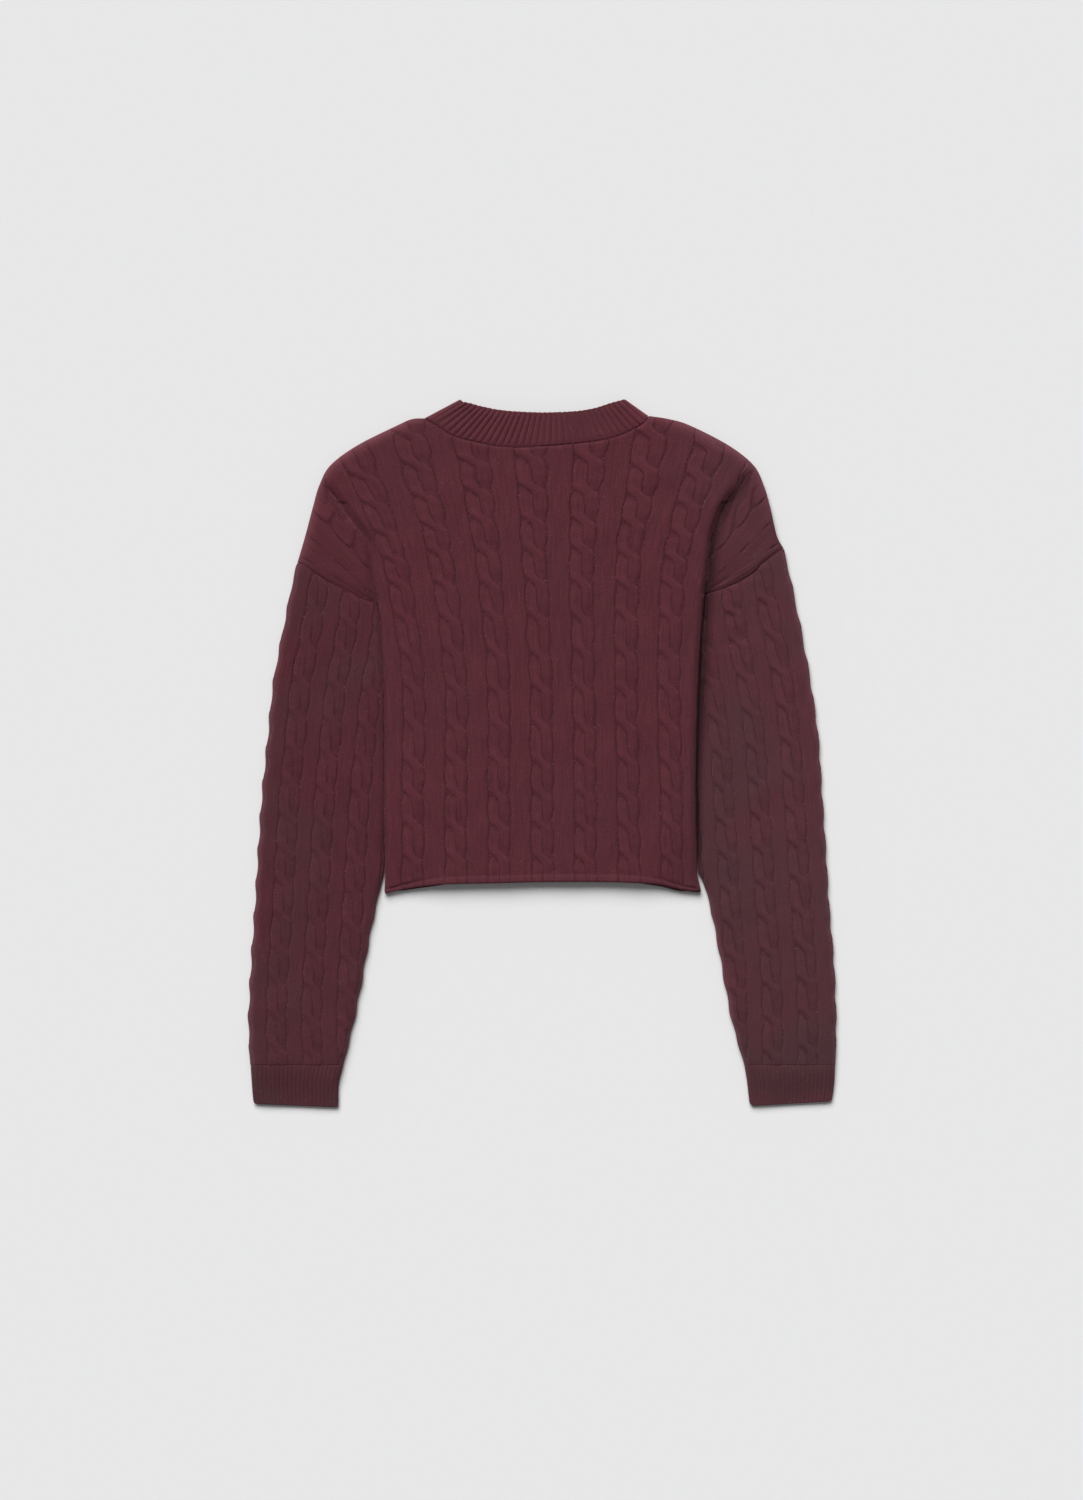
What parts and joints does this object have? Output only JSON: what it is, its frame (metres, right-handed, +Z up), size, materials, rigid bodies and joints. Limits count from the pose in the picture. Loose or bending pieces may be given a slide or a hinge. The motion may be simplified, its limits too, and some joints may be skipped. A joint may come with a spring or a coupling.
{
  "type": "cropped knit sweater",
  "caption": "Cropped cable-knit sweater laid flat with its back up, with dropped shoulders, ribbed neckband and cuffs, and a rolled lower edge.",
  "frame": {"origin": "on the surface that the sweater lies on, under the centre of its box", "axes": "+Y towards the neck, +X to the right seen from above, +Z up from the surface to the back panel's outer side"},
  "size_m": [0.5422, 0.6532, 0.012],
  "materials": {
    "cable_knit": "soft wine-red knitted yarn with raised cables, matt with a slight nap",
    "rib_knit": "the same wine-red yarn knitted in ribs"
  },
  "bodies": {
    "root": {"back_panel": "cable_knit", "front_panel": "cable_knit", "left_sleeve": "cable_knit", "right_sleeve": "cable_knit", "left_cuff": "rib_knit", "right_cuff": "rib_knit", "neckband": "rib_knit"}
  },
  "joints": []
}
